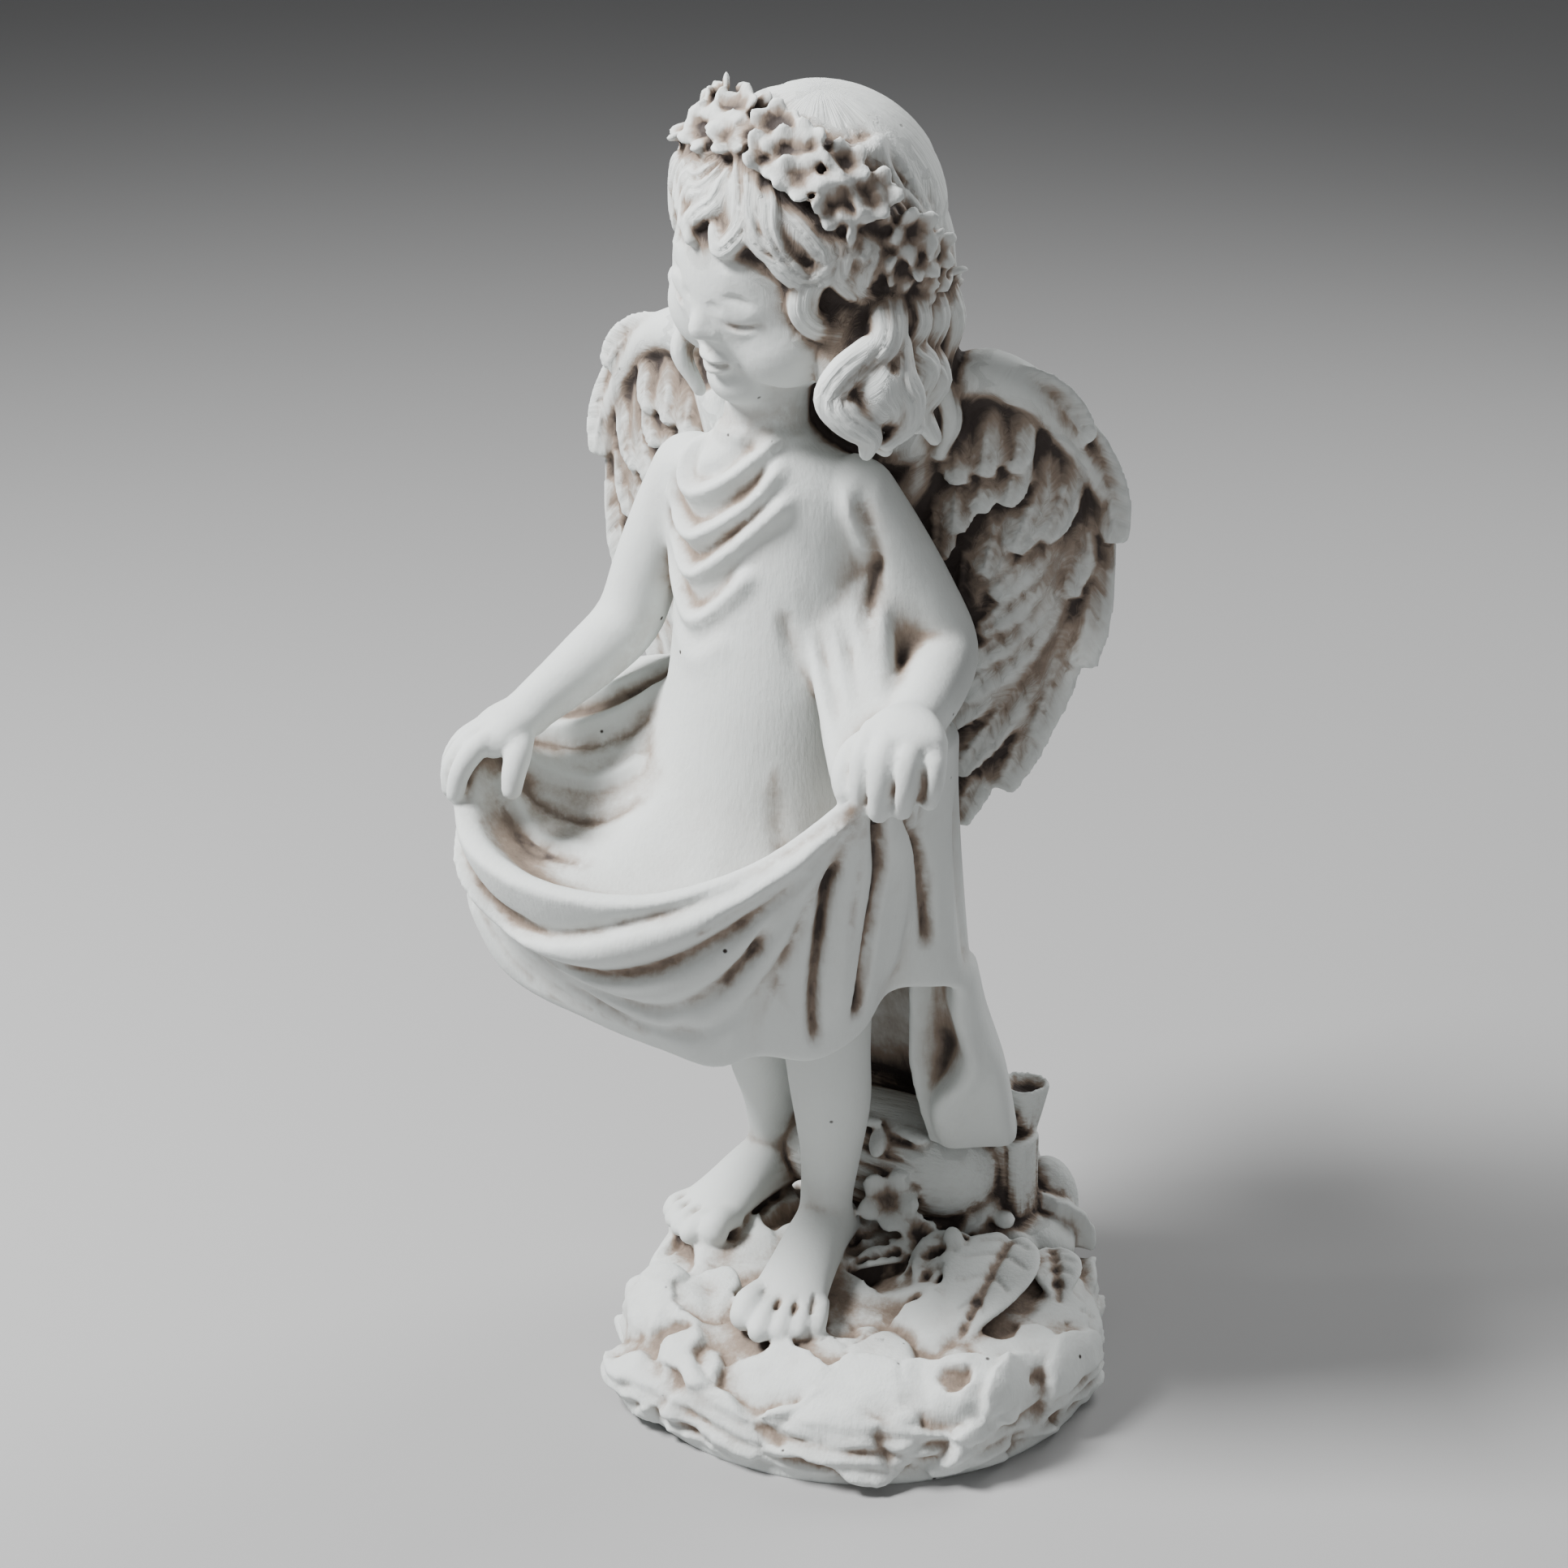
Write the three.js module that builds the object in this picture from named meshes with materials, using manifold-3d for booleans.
// Garden statue of a cherub girl who holds up the front of her dress as a shallow bowl.
// One casting: winged figure, broken log and round rocky base are a single closed solid.
// Millimetres, +Z up. The figure faces -Y, its left hand is on the +X side, and the origin
// is the middle of the flat underside.

import * as THREE from 'three';
import { mergeVertices } from 'three/addons/utils/BufferGeometryUtils.js';
import Module from 'manifold-3d';

const wasm = await Module();
wasm.setup();

// ---- driving dimensions -------------------------------------------------------------------

const BASE_RADIUS = 109;
const GROUND_HEIGHT = 46;
const FIGURE_X = -43;
const FIGURE_Y = 5;
const WALL = 9;
const RIM_ROLL = 5;
const HOLLOW_ROOF = 236;
const HOLLOW_NARROWING = 0.55;
const HOLLOW_CLEARANCE = 8;
const FLARE_START = 84;
const FLARE_END = 112;
const FLARE_EXTRA = 2.2;
const ROLL_START = 80;
const ROLL_END = 118;
const CAST_COLOUR = 0xd9dad3;
const WANTED_TRIANGLES = 9900;
const LIGHTEN_ROUNDS = 40;
const LIGHTEN_START = 0.02;
const LIGHTEN_GROWTH = 1.12;
const LIGHTEN_TURN = 0.5;
const END_SHARE = 0.6;
const END_REACH = 0.75;

const DEG = Math.PI / 180;
const UP = new THREE.Vector3(0, 0, 1);

// ---- small helpers ------------------------------------------------------------------------

const vec = (x, y, z) => new THREE.Vector3(x, y, z);
const mix = (a, b, t) => a + (b - a) * t;
const bump = (x, centre, width) => Math.exp(-(((x - centre) / width) ** 2));

function smoothStep(low, high, x) {
  const t = Math.min(1, Math.max(0, (x - low) / (high - low)));
  return t * t * (3 - 2 * t);
}

// Steady waviness without randomness, about -1 to 1.
function ripple(x, y, z) {
  const a = Math.sin(x * 0.071 + 1.7 * Math.sin(y * 0.043 + 0.6));
  const b = Math.sin(y * 0.089 + 1.3 * Math.sin(z * 0.061 + 2.1));
  const c = Math.sin(z * 0.13 + 1.1 * Math.sin(x * 0.057 + 4.0));
  return (a + b + c) / 3;
}

// Smooth curve through the rows of a table that is sorted by its first column.
function keyed(table, column, x, period = 0) {
  const n = table.length;
  const at = (i) => {
    if (!period) {
      return table[Math.min(n - 1, Math.max(0, i))];
    }
    const turns = Math.floor(i / n);
    const row = table[i - turns * n];
    return [row[0] + turns * period, ...row.slice(1)];
  };
  let i = 0;
  while (i < n && at(i)[0] <= x) {
    i += 1;
  }
  const [p0, p1, p2, p3] = [at(i - 2), at(i - 1), at(i), at(i + 1)];
  const span = p2[0] - p1[0];
  if (span <= 0) {
    return p1[column];
  }
  const t = (x - p1[0]) / span;
  const slopeIn = (p2[column] - p0[column]) / Math.max(p2[0] - p0[0], 1e-6);
  const slopeOut = (p3[column] - p1[column]) / Math.max(p3[0] - p1[0], 1e-6);
  const m1 = slopeIn * span;
  const m2 = slopeOut * span;
  const t2 = t * t;
  const t3 = t2 * t;
  return (2 * t3 - 3 * t2 + 1) * p1[column] + (t3 - 2 * t2 + t) * m1
    + (3 * t2 - 2 * t3) * p2[column] + (t3 - t2) * m2;
}

// A closed body from a three.js geometry, its seams merged and its faces turned outwards.
function bodyOf(geometry) {
  let merged = geometry.index ? geometry : geometry.clone();
  merged.deleteAttribute('normal');
  merged.deleteAttribute('uv');
  merged = mergeVertices(merged, 1e-4);
  const points = Float32Array.from(merged.attributes.position.array);
  const faces = [];
  let volume = 0;
  const corner = (i) => vec(points[3 * i], points[3 * i + 1], points[3 * i + 2]);
  for (let f = 0; f < merged.index.count; f += 3) {
    const [a, b, c] = [0, 1, 2].map((k) => merged.index.getX(f + k));
    if (a === b || b === c || c === a) {
      continue;
    }
    faces.push([a, b, c]);
    volume += corner(a).dot(corner(b).cross(corner(c)));
  }
  if (volume < 0) {
    faces.forEach((face) => face.reverse());
  }
  const mesh = new wasm.Mesh({
    numProp: 3,
    vertProperties: points,
    triVerts: Uint32Array.from(faces.flat()),
  });
  return new wasm.Manifold(mesh);
}

// Closed loft through rings of equal point count, each end closed by a fan.
function loft(rings) {
  const count = rings[0].length;
  const points = rings.flat();
  const index = [];
  for (let k = 0; k + 1 < rings.length; k += 1) {
    for (let i = 0; i < count; i += 1) {
      const j = (i + 1) % count;
      const [a, b, c, d] = [k * count + i, k * count + j, (k + 1) * count + j, (k + 1) * count + i];
      index.push(a, b, c, a, c, d);
    }
  }
  [0, rings.length - 1].forEach((k) => {
    const centre = vec(0, 0, 0);
    rings[k].forEach((p) => centre.addScaledVector(p, 1 / count));
    points.push(centre);
    for (let i = 0; i < count; i += 1) {
      const j = (i + 1) % count;
      const fan = [k * count + i, k * count + j, points.length - 1];
      index.push(...(k === 0 ? fan.reverse() : fan));
    }
  });
  const geometry = new THREE.BufferGeometry().setFromPoints(points);
  geometry.setIndex(index);
  return bodyOf(geometry);
}

// Round-ended limb along a smooth path. Each path row is x, y, z, half width, half depth.
function limb(path, sides = 8, steps = 8, side = vec(1, 0, 0)) {
  const curve = new THREE.CatmullRomCurve3(path.map((p) => vec(p[0], p[1], p[2])));
  const last = path.length - 1;
  const ringAt = (t, shrink, slide) => {
    const u = t * last;
    const i = Math.min(last - 1, Math.floor(u));
    const wide = mix(path[i][3], path[i + 1][3], u - i);
    const depth = mix(path[i][4] ?? path[i][3], path[i + 1][4] ?? path[i + 1][3], u - i);
    const along = curve.getTangent(t);
    const centre = curve.getPoint(t).addScaledVector(along, slide * Math.min(wide, depth));
    const across = side.clone().addScaledVector(along, -side.dot(along)).normalize();
    const third = along.clone().cross(across);
    const ring = [];
    for (let s = 0; s < sides; s += 1) {
      const a = (s / sides) * 2 * Math.PI;
      ring.push(centre.clone()
        .addScaledVector(across, wide * shrink * Math.cos(a))
        .addScaledVector(third, depth * shrink * Math.sin(a)));
    }
    return ring;
  };
  const rings = [ringAt(0, END_SHARE, -END_REACH)];
  for (let k = 0; k <= steps; k += 1) {
    rings.push(ringAt(k / steps, 1, 0));
  }
  rings.push(ringAt(1, END_SHARE, END_REACH));
  return loft(rings);
}

function ellipsoid(centre, radii, turn = new THREE.Matrix4(), sides = 14, rows = 10) {
  const geometry = new THREE.SphereGeometry(1, sides, rows);
  geometry.scale(radii.x, radii.y, radii.z);
  geometry.applyMatrix4(turn);
  geometry.translate(centre.x, centre.y, centre.z);
  return bodyOf(geometry);
}

const joined = (bodies) => bodies.reduce((sum, body) => sum.add(body));

// ---- dress: torso, bowl, apron and back skirt as one shell --------------------------------

// Torso rings from the neck down: height, centre x, centre y, half width, half depth.
const TORSO = [
  [452, -46, -6, 18, 17],
  [443, -46, -4, 25, 21],
  [435, -46, -1, 38, 27],
  [423, -46, 1, 47, 31],
  [402, -46, 1, 47, 34],
  [380, -45, 0, 46, 37],
  [357, -45, -2, 46, 40],
  [334, -45, -3, 48, 43],
];

// Upper edge of the lifted cloth round the figure's axis: angle from the front towards the
// left hand, radius, height, and how far the bowl dips behind it.
const EDGE = [
  [-170, 38, 306, 0],
  [-130, 48, 312, 0],
  [-100, 72, 326, 2],
  [-78, 98, 324, 16],
  [-60, 126, 314, 36],
  [-48, 141, 304, 46],
  [-38, 147, 284, 36],
  [-24, 141, 275, 30],
  [-10, 130, 273, 32],
  [2, 121, 275, 35],
  [14, 113, 282, 40],
  [26, 108, 292, 44],
  [38, 110, 309, 50],
  [50, 117, 331, 56],
  [60, 110, 333, 40],
  [78, 92, 330, 14],
  [100, 71, 326, 2],
  [130, 54, 312, 0],
];

// Hem: angle, radius, height.
const HEM = [
  [-175, 90, 96],
  [-130, 98, 98],
  [-112, 100, 124],
  [-98, 104, 176],
  [-80, 122, 214],
  [-60, 140, 232],
  [-47, 145, 232],
  [-39, 136, 212],
  [-20, 113, 199],
  [-2, 104, 193],
  [12, 99, 187],
  [22, 90, 190],
  [38, 90, 188],
  [52, 84, 194],
  [68, 72, 204],
  [80, 84, 206],
  [92, 92, 200],
  [104, 88, 176],
  [112, 90, 132],
  [124, 96, 102],
  [150, 96, 94],
];

// Depth of each swag fold below the edge, at its deepest: fold distance, stand-out.
const SWAGS = [[13, -3.5], [24, 3.5], [34, -3], [46, 3], [56, -2]];
const SWAG_CENTRE = -8;
const SWAG_SPREAD = 46;
const SWAG_PINCH = 0.3;
const SWAG_REACH = { from: -62, full: -44, fade: 40, to: 56 };

// Pleats that hang from the left hand: angle, depth, half width.
const PLEATS = [[40, -6, 3.4], [46, 4, 4], [51, -7, 3.2], [60, 4, 5], [69, -7, 4], [82, 4, 7]];

const dressAngles = [];
for (let angle = -180; angle < 180; angle += angle >= 28 && angle < 92 ? 4 : 6) {
  dressAngles.push(angle);
}

function polar(angle, radius, height) {
  const a = angle * DEG;
  return vec(FIGURE_X + radius * Math.sin(a), FIGURE_Y - radius * Math.cos(a), height);
}

// The lap from the waist to the edge of the bowl: share of the way out, share of the dip.
const LAP = [[0.05, 0.65], [0.14, 1.15], [0.4, 1.3], [0.72, 1], [0.9, 0.5]];

function dressColumn(angle) {
  const column = [];
  TORSO.forEach(([z, cx, cy, wide, deep]) => {
    const a = angle * DEG;
    column.push(vec(cx + wide * Math.sin(a), cy - deep * Math.cos(a), z));
  });
  const waist = column[column.length - 1];
  const waistRadius = Math.hypot(waist.x - FIGURE_X, waist.y - FIGURE_Y);
  const edgeRadius = keyed(EDGE, 1, angle, 360);
  const edgeHeight = keyed(EDGE, 2, angle, 360);
  const dip = keyed(EDGE, 3, angle, 360);
  const hemRadius = keyed(HEM, 1, angle, 360);
  const hemHeight = keyed(HEM, 2, angle, 360);
  LAP.forEach(([t, share]) => {
    const height = mix(waist.z, edgeHeight, t) - dip * share;
    column.push(polar(angle, mix(waistRadius, edgeRadius - RIM_ROLL * 0.8, t), height));
  });
  const roll = RIM_ROLL * smoothStep(ROLL_END, ROLL_START, Math.abs(angle));
  column.push(polar(angle, edgeRadius - roll * 0.6, edgeHeight));
  column.push(polar(angle, edgeRadius + roll * 0.6, edgeHeight - 3));

  const converge = mix(SWAG_PINCH, 1, Math.exp(-(((angle - SWAG_CENTRE) / SWAG_SPREAD) ** 4)));
  const strength = smoothStep(SWAG_REACH.from, SWAG_REACH.full, angle)
    * smoothStep(SWAG_REACH.to, SWAG_REACH.fade, angle);
  const drop = edgeHeight - hemHeight;
  const flare = 1 + FLARE_EXTRA * smoothStep(FLARE_START, FLARE_END, Math.abs(angle));
  const outer = (below, relief) => {
    const t = below / drop;
    const pleat = PLEATS.reduce((sum, [at, depth, width]) => sum
      + depth * bump(angle, at, width), 0) * smoothStep(0.02, 0.35, t);
    const radius = mix(edgeRadius + roll, hemRadius, t ** flare) + relief + pleat;
    column.push(polar(angle, radius, edgeHeight - below));
  };
  SWAGS.forEach(([below, relief]) => outer(below * converge, relief * strength));
  const lastSwag = SWAGS[SWAGS.length - 1][0] * converge;
  [0.33, 0.67, 1].forEach((t) => outer(mix(lastSwag, drop, t), 0));

  const hem = column[column.length - 1];
  const hemReach = Math.hypot(hem.x - FIGURE_X, hem.y - FIGURE_Y);
  const ceiling = Math.max(HOLLOW_ROOF, hemHeight + HOLLOW_CLEARANCE);
  column.push(polar(angle, hemReach - WALL * 0.7, hemHeight + 1));
  column.push(polar(angle, (hemReach - WALL) * 0.88, mix(hemHeight, ceiling, 0.7)));
  column.push(polar(angle, (hemReach - WALL) * HOLLOW_NARROWING, ceiling));
  return column;
}

// Cowl folds: rolls of cloth that hang in a U from shoulder to shoulder across the chest.
// Each row is the height of the lowest point, how far it reaches to each side, and its end.
const COWLS = [[427, 26, 443], [414, 34, 442], [401, 40, 438], [388, 42, 430], [375, 38, 414]];
const COWL_MIDDLE = -9;
const COWL_SINK = 2.2;
const COWL_THICK = 4.6;

function cowls() {
  return COWLS.map(([low, reach, end], n) => {
    const rows = [];
    for (let i = 0; i <= 8; i += 1) {
      const t = i / 4 - 1;
      const height = low + (end - low) * Math.abs(t) ** 1.7;
      const a = (COWL_MIDDLE + reach * 1.5 * t) * DEG;
      const row = TORSO.findIndex(([z]) => z <= height);
      const [above, below] = [TORSO[row - 1], TORSO[row]];
      const s = (above[0] - height) / (above[0] - below[0]);
      const wide = mix(above[3], below[3], s) - COWL_SINK;
      const deep = mix(above[4], below[4], s) - COWL_SINK;
      rows.push([
        mix(above[1], below[1], s) + wide * Math.sin(a),
        mix(above[2], below[2], s) - deep * Math.cos(a),
        height,
        COWL_THICK - 0.3 * n,
      ]);
    }
    return limb(rows, 7, 8, UP);
  });
}

// Cloth that fills the space between the left upper arm and the body.
function sideDrape() {
  return limb([
    [-4, 0, 398, 10, 14],
    [8, 2, 366, 12, 17],
    [20, -12, 340, 13, 18],
    [32, -34, 328, 9, 13],
  ], 7, 4);
}

function dress() {
  const columns = dressAngles.map(dressColumn);
  const rings = columns[0].map((_, k) => columns.map((column) => column[k]));
  return joined([loft(rings), sideDrape(), ...cowls()]);
}

// ---- arms and hands -----------------------------------------------------------------------

function arm(path) {
  return limb(path, 12, 8, vec(1, 0, 0));
}

function leftArm() {
  return arm([
    [-6, 2, 421, 17, 18],
    [6, 8, 400, 17, 17],
    [18, 15, 376, 16, 16],
    [28, 17, 354, 15.5, 15.5],
    [36, -8, 345, 15, 15],
    [42, -32, 341, 12.5, 12],
    [44, -48, 341, 11, 10],
  ]);
}

function rightArm() {
  return arm([
    [-88, 0, 421, 17, 18],
    [-98, -2, 400, 17, 17],
    [-108, -6, 376, 15.5, 16],
    [-114, -14, 352, 15, 15.5],
    [-121, -36, 338, 14, 14],
    [-129, -60, 326, 11.5, 11.5],
    [-133, -72, 321, 10, 9.5],
  ]);
}

// Closed hand on the gathered cloth: palm, four curled fingers side by side and a thumb.
function hand(palm, knuckleLine, fingerFall, thumb) {
  const parts = [ellipsoid(palm.centre, palm.radii, palm.turn, 9, 6)];
  for (let i = 0; i < 4; i += 1) {
    const root = knuckleLine.start.clone().lerp(knuckleLine.end, i / 3);
    const length = [0.92, 1, 0.96, 0.8][i];
    parts.push(limb([
      [root.x, root.y, root.z, 4.6],
      [root.x + fingerFall.x * 0.55 * length, root.y + fingerFall.y * 0.9 * length,
        root.z + fingerFall.z * 0.4 * length, 4.3],
      [root.x + fingerFall.x * length, root.y + fingerFall.y * length,
        root.z + fingerFall.z * length, 3.8],
    ], 5, 2));
  }
  parts.push(limb(thumb, 5, 2));
  return joined(parts);
}

function leftHand() {
  return hand(
    { centre: vec(46, -55, 338), radii: vec(17, 16, 11), turn: new THREE.Matrix4().makeRotationZ(0.15) },
    { start: vec(33, -66, 338), end: vec(60, -62, 337) },
    vec(-1, -9, -22),
    [[33, -58, 334, 5.5], [28, -68, 327, 5], [28, -74, 318, 4.2]],
  );
}

function rightHand() {
  return hand(
    { centre: vec(-138, -84, 316), radii: vec(15, 16, 11), turn: new THREE.Matrix4().makeRotationZ(-0.5) },
    { start: vec(-135, -98, 315), end: vec(-153, -82, 313) },
    vec(-8, -8, -20),
    [[-127, -86, 314, 5.5], [-121, -92, 304, 5], [-120, -96, 293, 4.2]],
  );
}

// ---- legs and feet ------------------------------------------------------------------------

// A bare foot with five toes. The toes point along the heading, in degrees from the front.
function foot(ankle, heading, length, ground) {
  const ahead = vec(Math.sin(heading * DEG), -Math.cos(heading * DEG), 0);
  const across = vec(Math.cos(heading * DEG), Math.sin(heading * DEG), 0);
  const at = (forward, sideways, height) => vec(ankle.x, ankle.y, ground + height)
    .addScaledVector(ahead, forward)
    .addScaledVector(across, sideways);
  const row = (forward, sideways, height, wide, deep) => {
    const p = at(forward, sideways, height);
    return [p.x, p.y, p.z, wide, deep];
  };
  const sole = limb([
    row(-16, 0, 13, 13, 12),
    row(6, 0, 17, 14, 16),
    row(length * 0.42, 0, 11, 17, 11),
    row(length * 0.62, 0, 8, 19.5, 8),
  ], 10, 5, across);
  const toes = [0, 1, 2, 3, 4].map((i) => {
    const inner = heading > 0 ? -1 : 1;
    const size = [7, 5, 4.8, 4.5, 4.3][i];
    const reach = length * [0.8, 0.84, 0.81, 0.77, 0.71][i];
    const place = inner * [14, 4.6, -2.8, -9.6, -15.6][i];
    const root = at(length * 0.58, place * 0.95, 7);
    const tip = at(reach - size, place, size + 0.5);
    return limb([[root.x, root.y, root.z, size], [tip.x, tip.y, tip.z, size]], 6, 2, across);
  });
  return joined([sole, ...toes]);
}

function legs() {
  const leftAnkle = vec(-23, 0, 0);
  const rightAnkle = vec(-78, 42, 0);
  return joined([
    limb([
      [-26, 2, 246, 24, 25],
      [-20, -4, 200, 22, 23],
      [-17, -6, 158, 19, 20],
      [-18, -1, 130, 18, 19],
      [-21, 3, 100, 14, 15],
      [-23, 2, 76, 11.5, 13],
      [-23, 2, 62, 12, 14],
    ], 12, 9),
    foot(leftAnkle, 12, 95, GROUND_HEIGHT),
    limb([
      [-62, 10, 246, 24, 25],
      [-64, 12, 200, 22, 23],
      [-66, 14, 160, 19, 20],
      [-70, 26, 130, 18, 19],
      [-75, 38, 102, 14, 15],
      [-78, 44, 78, 11.5, 13],
      [-78, 44, 62, 12, 14],
    ], 12, 9),
    foot(rightAnkle, -12, 78, GROUND_HEIGHT - 1),
  ]);
}

// ---- head, hair and wreath ----------------------------------------------------------------

const HEAD_CENTRE = vec(-32, -7, 530);
const headTurn = new THREE.Matrix4()
  .makeRotationZ(-17 * DEG)
  .multiply(new THREE.Matrix4().makeRotationY(10 * DEG))
  .multiply(new THREE.Matrix4().makeRotationX(15 * DEG));
const CAP = vec(0, 14, 6);
const CAP_RADIUS = 54;

const onHead = (x, y, z) => vec(x, y, z).applyMatrix4(headTurn).add(HEAD_CENTRE);
const headForm = (x, y, z, a, b, c, sides = 12, rows = 9) => (
  ellipsoid(onHead(x, y, z), vec(a, b, c), headTurn, sides, rows)
);
const rowOf = (p, ...sizes) => [p.x, p.y, p.z, ...sizes];

function head() {
  const neck = limb([
    [-46, -3, 436, 20, 18],
    [-45, -6, 458, 18, 18],
    [-40, -7, 488, 19, 20],
  ], 9, 2);
  return joined([
    neck,
    headForm(CAP.x, CAP.y, CAP.z, CAP_RADIUS, CAP_RADIUS + 2, CAP_RADIUS - 1, 22, 16),
    headForm(0, -6, -10, 44, 45, 52, 20, 15),
    headForm(-16, -26, -24, 22, 20, 20, 12, 8),
    headForm(16, -26, -24, 22, 20, 20, 12, 8),
    headForm(0, -35, -44, 13, 12, 11, 10, 7),
    limb([
      rowOf(onHead(0, -48, 2), 3.5),
      rowOf(onHead(0, -53, -17), 5.5),
    ], 5, 2),
  ]);
}

// A lock of hair through its points, thick near its root and thinner at its end.
function lock(points, thick, steps = 8) {
  const rows = points.map((p, i) => rowOf(p, thick * (1 - 0.6 * (i / (points.length - 1)) ** 3)));
  return limb(rows, 6, steps);
}

// Wavy strand: from a start to an end, swinging to both sides of the line between them.
function wavyLock(start, end, swing, turns, thick) {
  const points = [];
  for (let i = 0; i <= 6; i += 1) {
    const t = i / 6;
    const p = start.clone().lerp(end, t);
    p.x += swing * Math.sin(t * turns * 2 * Math.PI);
    p.y -= swing * 0.5 * Math.sin(t * turns * 2 * Math.PI + 1);
    points.push(p);
  }
  return lock(points, thick);
}

const FRINGE_CURLS = 9;

function hair() {
  const mass = limb([
    [-18, 26, 524, 38, 32],
    [-12, 28, 484, 38, 22],
    [-10, 27, 452, 34, 17],
    [-6, 26, 430, 26, 11],
  ], 10, 5, vec(0.95, 0.3, 0));
  const parts = [
    mass,
    wavyLock(vec(6, -34, 532), vec(14, -24, 458), 6, 1, 10),
    wavyLock(vec(16, -16, 524), vec(18, -8, 446), -6, 1, 11),
    wavyLock(vec(20, 4, 520), vec(22, 14, 428), 5, 1.2, 11),
    wavyLock(vec(18, 30, 520), vec(14, 34, 420), -5, 1.2, 12),
    wavyLock(vec(-4, 50, 520), vec(-10, 42, 424), 5, 1.2, 12),
    wavyLock(vec(-36, 52, 516), vec(-34, 40, 428), -5, 1.2, 12),
    wavyLock(vec(-66, 36, 520), vec(-56, 32, 434), 5, 1.2, 12),
    wavyLock(vec(-80, 4, 520), vec(-70, 14, 444), -4, 1, 11),
    wavyLock(vec(-78, -22, 516), vec(-68, -20, 462), 3, 1, 7),
  ];
  // Curls of the fringe sweep to both sides from under the wreath.
  for (let i = 0; i < FRINGE_CURLS; i += 1) {
    const t = i / (FRINGE_CURLS - 1);
    const a = mix(-80, 72, t) * DEG;
    const sweep = mix(-0.34, 0.42, t);
    const low = 22 - 20 * Math.sin(a) ** 2;
    parts.push(lock([0, 0.3, 0.6, 0.85, 1].map((u) => {
      const b = a + sweep * u + 0.08 * Math.sin(u * 7);
      return onHead(
        (45 + 2 * u) * Math.sin(b),
        -(45 + 3 * Math.sin(u * 3)) * Math.cos(b),
        mix(42 - 8 * Math.abs(Math.sin(a)), low, u) + 2 * Math.sin(u * 6),
      );
    }), 7.5, 5));
  }
  return joined(parts);
}

// Open flower with five petals round its middle, facing outwards from the head.
function bloom(centre, facing, radius) {
  const turn = new THREE.Quaternion().setFromUnitVectors(UP, facing);
  const star = (share, height) => {
    const ring = [];
    for (let i = 0; i < 10; i += 1) {
      const a = (i / 10) * 2 * Math.PI;
      const reach = radius * share * (i % 2 ? 0.62 : 1);
      ring.push(vec(reach * Math.cos(a), reach * Math.sin(a), height).applyQuaternion(turn).add(centre));
    }
    return ring;
  };
  return loft([star(0.5, -radius * 0.7), star(1, 0), star(0.35, radius * 0.28)]);
}

// The wreath lies over the fringe and slopes down behind the ears.
const WREATH_TILT = 50;
const WREATH_BLOOMS = 14;

function wreath() {
  const parts = [];
  const rise = Math.sin(WREATH_TILT * DEG);
  const ahead = Math.cos(WREATH_TILT * DEG);
  for (let i = 0; i < WREATH_BLOOMS; i += 1) {
    const a = (i / WREATH_BLOOMS) * 2 * Math.PI;
    const spot = vec(Math.sin(a), -Math.cos(a) * ahead, Math.cos(a) * rise);
    const middle = onHead(CAP.x, CAP.y, CAP.z);
    const facing = spot.clone().applyMatrix4(headTurn).normalize();
    const place = middle.addScaledVector(facing, CAP_RADIUS + 2 + (i % 2) * 1.5);
    parts.push(bloom(place, facing, i % 2 ? 12 : 14));
  }
  return joined(parts);
}

// ---- wings --------------------------------------------------------------------------------

// Feather: a keeled blade from its root to its tip, flat across the wing.
function feather(root, tip, wide, thick, normal) {
  const along = tip.clone().sub(root);
  const length = along.length();
  along.normalize();
  const across = along.clone().cross(normal).normalize();
  const face = across.clone().cross(along).normalize();
  const outline = [[0, 0.5], [0.4, 1], [0.85, 0.85], [1, 0.3]];
  const rings = outline.map(([t, share]) => {
    const centre = root.clone().addScaledVector(along, length * t);
    return [[share, 0], [0, 1], [-share, 0], [0, -1]].map(([w, h]) => centre.clone()
      .addScaledVector(across, w * wide)
      .addScaledVector(face, h * thick * (0.35 + 0.65 * share)));
  });
  return loft(rings);
}

// Each wing is laid out on its own plane: outwards from its root, and height.
const WING_ROOT_X = 31;
const WING_ROOT_Y = 35;
const WING_OUT = 0.965;
const WING_BACK = 0.263;

// Leading edge from the root over the wrist to the outer tip: outwards, height, radius.
const WING_ARM = [
  [-4, 392, 13], [14, 424, 12], [28, 450, 11], [38, 466, 11], [54, 470, 11],
  [74, 458, 10], [92, 434, 8], [103, 404, 5],
];

// Tips of the long feathers from the outer edge to the inner one.
const LONG_TIPS = [
  [101, 376], [97, 348], [88, 320], [74, 298], [59, 279], [46, 265], [35, 252], [21, 264], [8, 288],
];
const NOTCH = 13;

// Band of overlapping feathers with keeled middles and scalloped ends. Each column runs from
// a root on the wing's arm to a tip; the odd columns are the middles of the feathers.
function featherBand(place, rootOf, tipOf, feathers, reach, height, keel) {
  const rings = [];
  for (let j = 0; j <= 2 * feathers; j += 1) {
    const t = j / (2 * feathers);
    const middle = j % 2 === 1;
    const root = rootOf(t);
    const tip = tipOf(t).clone().lerp(root, 1 - reach);
    const along = tip.clone().sub(root);
    tip.addScaledVector(along, middle ? 0 : -NOTCH / along.length());
    const rise = middle ? keel : keel * 0.25;
    const front = [];
    const back = [];
    [0, 0.5, 0.86, 1].forEach((m) => {
      const p = root.clone().lerp(tip, m);
      const share = m === 1 ? 0.3 : 1;
      front.push(place(p.x, p.y, height + rise * share));
      back.unshift(place(p.x, p.y, height - rise * share - 0.8));
    });
    rings.push([...front, ...back]);
  }
  return loft(rings);
}

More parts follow.
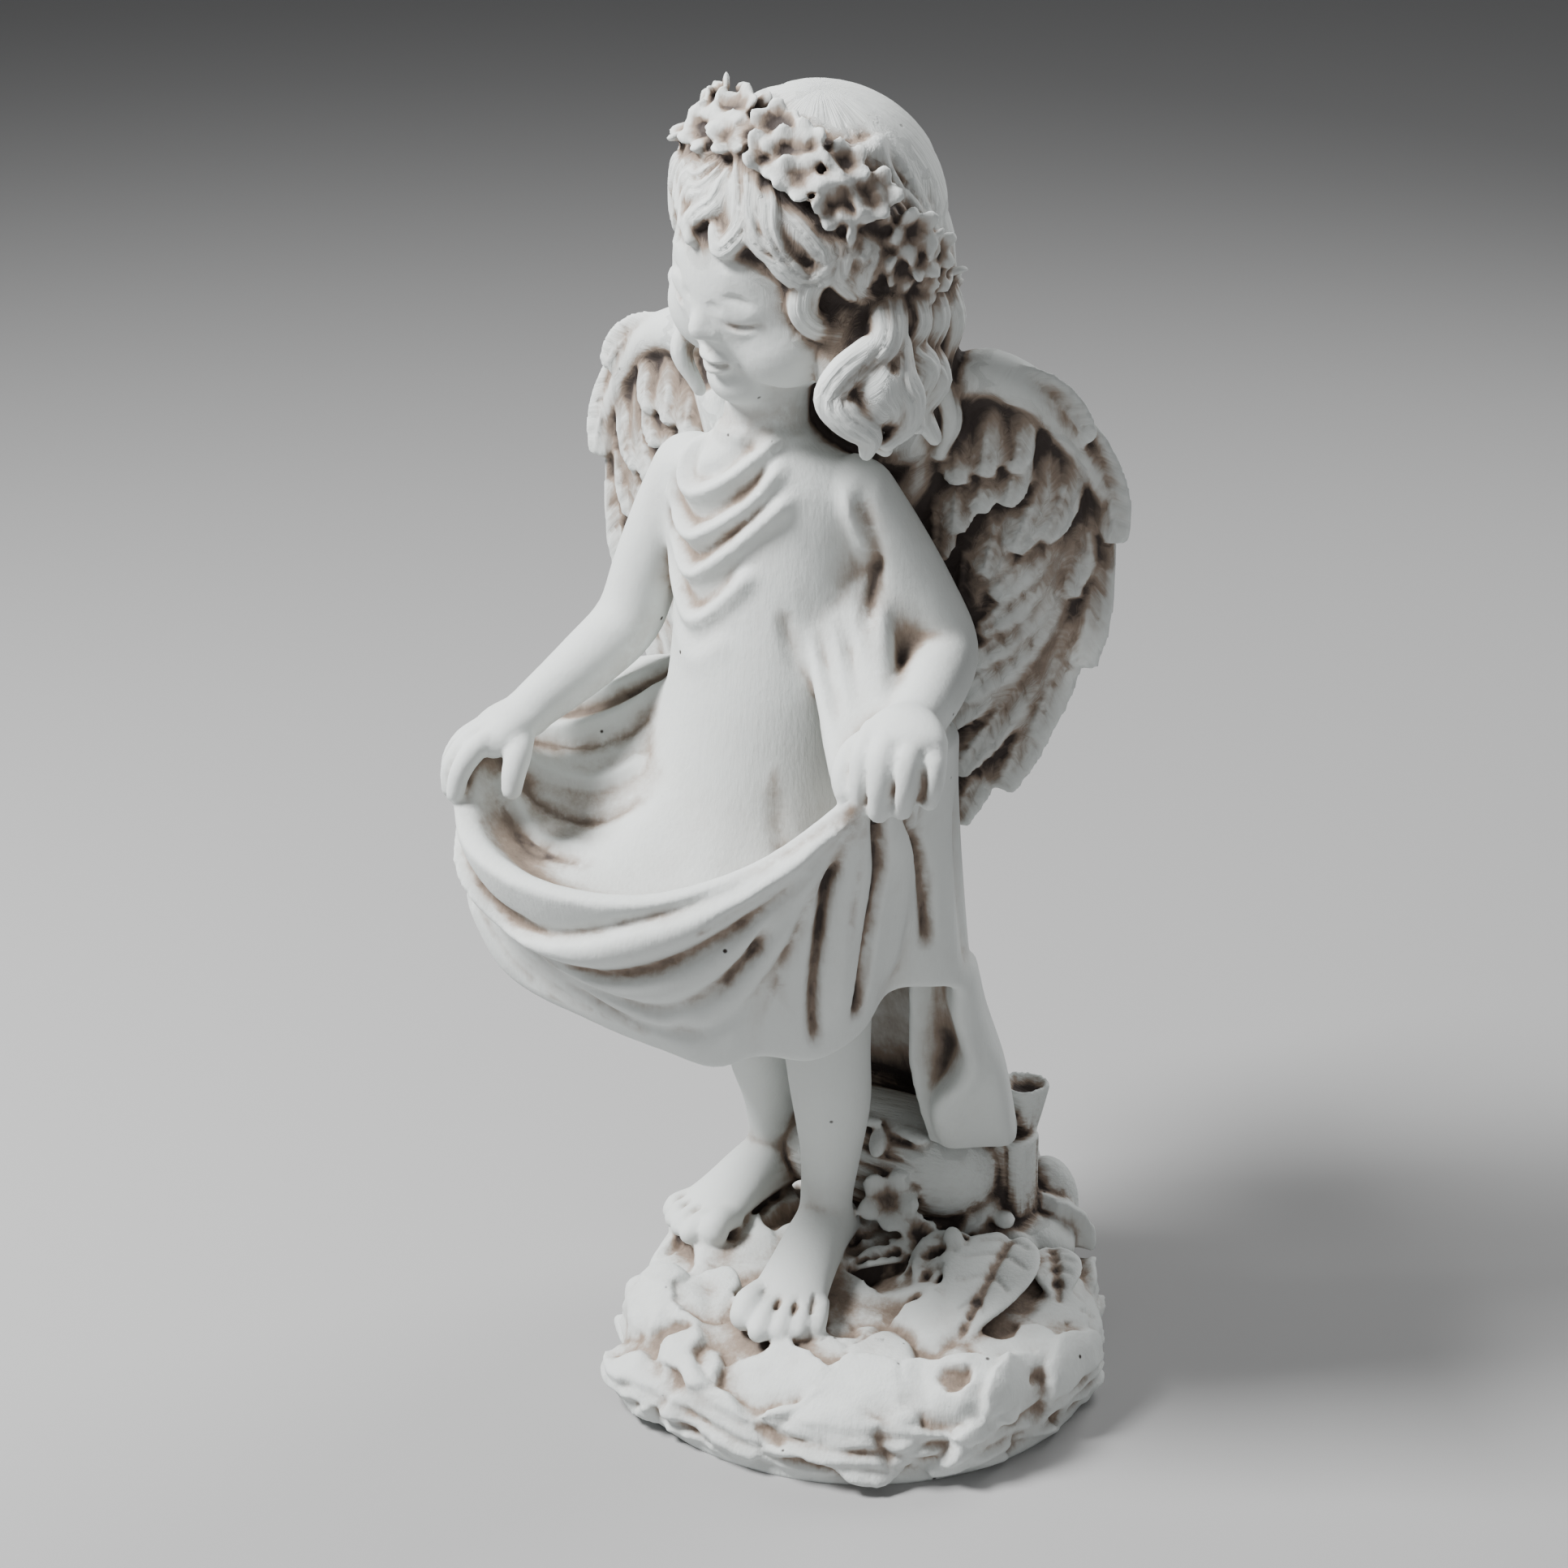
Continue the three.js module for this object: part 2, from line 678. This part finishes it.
function wing(side) {
  const place = (u, v, w) => vec(
    FIGURE_X + side * (WING_ROOT_X + WING_OUT * u + WING_BACK * w),
    WING_ROOT_Y + WING_BACK * u - WING_OUT * w,
    v,
  );
  const armCurve = new THREE.CatmullRomCurve3(WING_ARM.map(([u, v]) => vec(u, v, 0)));
  const tipCurve = new THREE.CatmullRomCurve3(LONG_TIPS.map(([u, v]) => vec(u, v, 0)));
  const rootOf = (t) => armCurve.getPoint(1 - t);
  const tipOf = (t) => tipCurve.getPoint(t);
  return joined([
    limb(WING_ARM.map(([u, v, r]) => rowOf(place(u, v, 0), r, r)), 7, 8, UP),
    featherBand(place, rootOf, tipOf, 9, 1, 0, 4.2),
    featherBand(place, rootOf, tipOf, 6, 0.62, 4.5, 3.6),
    featherBand(place, rootOf, tipOf, 5, 0.36, 8, 3.2),
    featherBand(place, rootOf, tipOf, 5, 0.5, -5, 3.4),
  ]);
}

// ---- base, log and plants -----------------------------------------------------------------

const GROUND_SIDES = 40;
const LOBE_ANGLE = -126;
const LOBE_WIDTH = 34;
const LOBE_REACH = 0.085;

function ground() {
  const rows = [
    [0, 0.965, 0], [8, 1.0, 2], [20, 0.965, 5], [30, 0.97, 6],
    [38, 0.87, 6], [GROUND_HEIGHT - 3, 0.7, 6], [GROUND_HEIGHT + 2, 0.4, 3],
  ];
  const rings = rows.map(([z, share, rough]) => {
    const ring = [];
    for (let i = 0; i < GROUND_SIDES; i += 1) {
      const a = (i / GROUND_SIDES) * 2 * Math.PI;
      const fromLobe = ((a / DEG - LOBE_ANGLE + 540) % 360) - 180;
      const lobe = LOBE_REACH * bump(fromLobe, 0, LOBE_WIDTH);
      const oval = BASE_RADIUS * (1 + 0.03 * Math.cos(2 * a + 0.6) + 0.015 * Math.sin(3 * a) + lobe);
      const x = oval * share * Math.cos(a);
      const y = oval * share * Math.sin(a);
      const wobble = rough * ripple(x * 1.6, y * 1.6, z * 6);
      const grow = 1 + wobble / BASE_RADIUS;
      ring.push(vec(x * grow, y * grow, z === 0 ? 0 : z + wobble * 0.5));
    }
    return ring;
  });
  return loft(rings);
}

function rock(x, y, z, a, b, c, turn) {
  const geometry = new THREE.IcosahedronGeometry(1, 2);
  const points = geometry.attributes.position;
  for (let i = 0; i < points.count; i += 1) {
    const p = vec(points.getX(i), points.getY(i), points.getZ(i));
    p.multiplyScalar(1 + 0.12 * ripple(p.x * 60 + x, p.y * 60 + y, p.z * 60));
    points.setXYZ(i, p.x, p.y, p.z);
  }
  geometry.scale(a, b, c);
  geometry.rotateZ(turn);
  geometry.translate(x, y, z);
  return bodyOf(geometry);
}

// Leaf: a thin pointed blade with a raised middle.
function leaf(root, tip, wide, thick) {
  return feather(root, tip, wide, thick, UP);
}

function setting() {
  const parts = [
    ground(),
    rock(8, -84, 22, 40, 22, 19, 0.2),
    rock(-66, -62, 34, 30, 20, 14, -0.5),
    rock(74, -42, 28, 26, 30, 20, 0.3),
    rock(-92, 14, 30, 16, 34, 20, 0.1),
    rock(40, 66, 44, 38, 26, 22, 0.2),
    rock(-30, 78, 36, 40, 20, 20, 0),
  ];
  // Fallen log behind the left leg, the broken stump beside it and its cut-off branch.
  parts.push(limb([
    [-58, 62, 72, 26, 26],
    [-20, 58, 76, 26, 26],
    [22, 56, 76, 25, 24],
    [44, 58, 72, 22, 22],
  ], 10, 5, UP));
  parts.push(limb([
    [52, 66, 40, 17, 16],
    [51, 66, 66, 14, 13],
    [50, 66, 88, 13, 12],
  ], 8, 3));
  parts.push(limb([
    [42, 72, 92, 8, 8],
    [42, 74, 106, 8, 8],
    [40, 76, 116, 11, 11],
  ], 8, 3));
  parts.push(leaf(vec(2, 22, 82), vec(20, -8, 92), 12, 4));
  parts.push(leaf(vec(52, 40, 50), vec(34, -24, 46), 26, 9));
  parts.push(ellipsoid(vec(14, 14, 70), vec(13, 11, 12), new THREE.Matrix4(), 10, 8));
  parts.push(ellipsoid(vec(-44, 26, 58), vec(13, 12, 18), new THREE.Matrix4(), 10, 8));
  return joined(parts);
}

// ---- assembly -----------------------------------------------------------------------------

// The underside is one flat plane at height 0.
function flatUnderside(body) {
  const slab = new THREE.BoxGeometry(4 * BASE_RADIUS, 4 * BASE_RADIUS, 80);
  slab.translate(0, 0, -40);
  return body.subtract(bodyOf(slab));
}

// Lighter copy of a closed mesh: a corner moves onto a neighbour where the surface round it
// stays within the tolerance, no face turns over and the surface stays one closed skin.
function lighten(points, triangles, wanted) {
  let faces = triangles.map((face) => [...face]);
  const planeOf = ([a, b, c]) => new THREE.Plane().setFromCoplanarPoints(points[a], points[b], points[c]);
  for (let round = 0; round < LIGHTEN_ROUNDS && faces.length > wanted; round += 1) {
    const tolerance = LIGHTEN_START * LIGHTEN_GROWTH ** round;
    const around = points.map(() => []);
    faces.forEach((face) => face.forEach((corner) => around[corner].push(face)));
    const neighbours = (corner) => new Set(around[corner].flat().filter((other) => other !== corner));
    const moves = [];
    points.forEach((point, corner) => {
      const planes = around[corner].map(planeOf);
      let best = null;
      (around[corner].length ? neighbours(corner) : []).forEach((target) => {
        const error = Math.max(...planes.map((plane) => Math.abs(plane.distanceToPoint(points[target]))));
        const cost = error + 0.004 * point.distanceTo(points[target]);
        if (error < tolerance && (!best || cost < best.cost)) {
          best = { corner, target, cost };
        }
      });
      if (best) {
        moves.push(best);
      }
    });
    moves.sort((a, b) => a.cost - b.cost);
    const settled = new Set();
    let surplus = faces.length - wanted;
    moves.forEach(({ corner, target }) => {
      const ring = neighbours(corner);
      const touched = [corner, target, ...ring];
      if (surplus <= 0 || touched.some((other) => settled.has(other))) {
        return;
      }
      const shared = [...ring].filter((other) => neighbours(target).has(other));
      const kept = around[corner].filter((face) => !face.includes(target));
      const turned = kept.some((face) => {
        const moved = face.map((other) => (other === corner ? target : other));
        return planeOf(face).normal.dot(planeOf(moved).normal) < LIGHTEN_TURN;
      });
      if (shared.length !== 2 || turned || shared.some((other) => around[other].length < 4)) {
        return;
      }
      kept.forEach((face) => face.splice(face.indexOf(corner), 1, target));
      around[corner].filter((face) => !kept.includes(face)).forEach((face) => face.fill(-1));
      touched.forEach((other) => settled.add(other));
      surplus -= 2;
    });
    faces = faces.filter((face) => face[0] >= 0);
  }
  return faces;
}

// The outermost skin of a closed mesh, without the walls of hollows sealed inside it.
function outerSkin(points, triangles) {
  const parent = points.map((_, i) => i);
  const rootOf = (i) => {
    let root = i;
    while (parent[root] !== root) {
      root = parent[root];
    }
    parent[i] = root;
    return root;
  };
  triangles.forEach(([a, b, c]) => {
    parent[rootOf(b)] = rootOf(a);
    parent[rootOf(c)] = rootOf(a);
  });
  const volumes = new Map();
  triangles.forEach(([a, b, c]) => {
    const part = points[a].dot(points[b].clone().cross(points[c]));
    volumes.set(rootOf(a), (volumes.get(rootOf(a)) ?? 0) + part);
  });
  const [largest] = [...volumes.entries()].sort((a, b) => b[1] - a[1])[0];
  return triangles.filter(([a]) => rootOf(a) === largest);
}

function statueGeometry() {
  const body = flatUnderside(joined([
    setting(),
    legs(),
    dress(),
    leftArm(),
    rightArm(),
    leftHand(),
    rightHand(),
    head(),
    hair(),
    wreath(),
    wing(1),
    wing(-1),
  ]));
  const mesh = body.getMesh();
  const points = [];
  for (let i = 0; i < mesh.vertProperties.length; i += 3) {
    points.push(vec(...mesh.vertProperties.slice(i, i + 3)));
  }
  const triangles = [];
  for (let i = 0; i < mesh.triVerts.length; i += 3) {
    triangles.push([...mesh.triVerts.slice(i, i + 3)]);
  }
  const faces = lighten(points, outerSkin(points, triangles), WANTED_TRIANGLES);
  const geometry = new THREE.BufferGeometry().setFromPoints(points);
  geometry.setIndex(faces.flat());
  return geometry.toNonIndexed();
}

const castStone = new THREE.MeshStandardMaterial({
  color: CAST_COLOUR,
  roughness: 0.85,
  metalness: 0,
});
const statue = new THREE.Mesh(statueGeometry(), castStone);
statue.name = 'cherub_statue';

const group = new THREE.Group();
group.add(statue);

export default group;
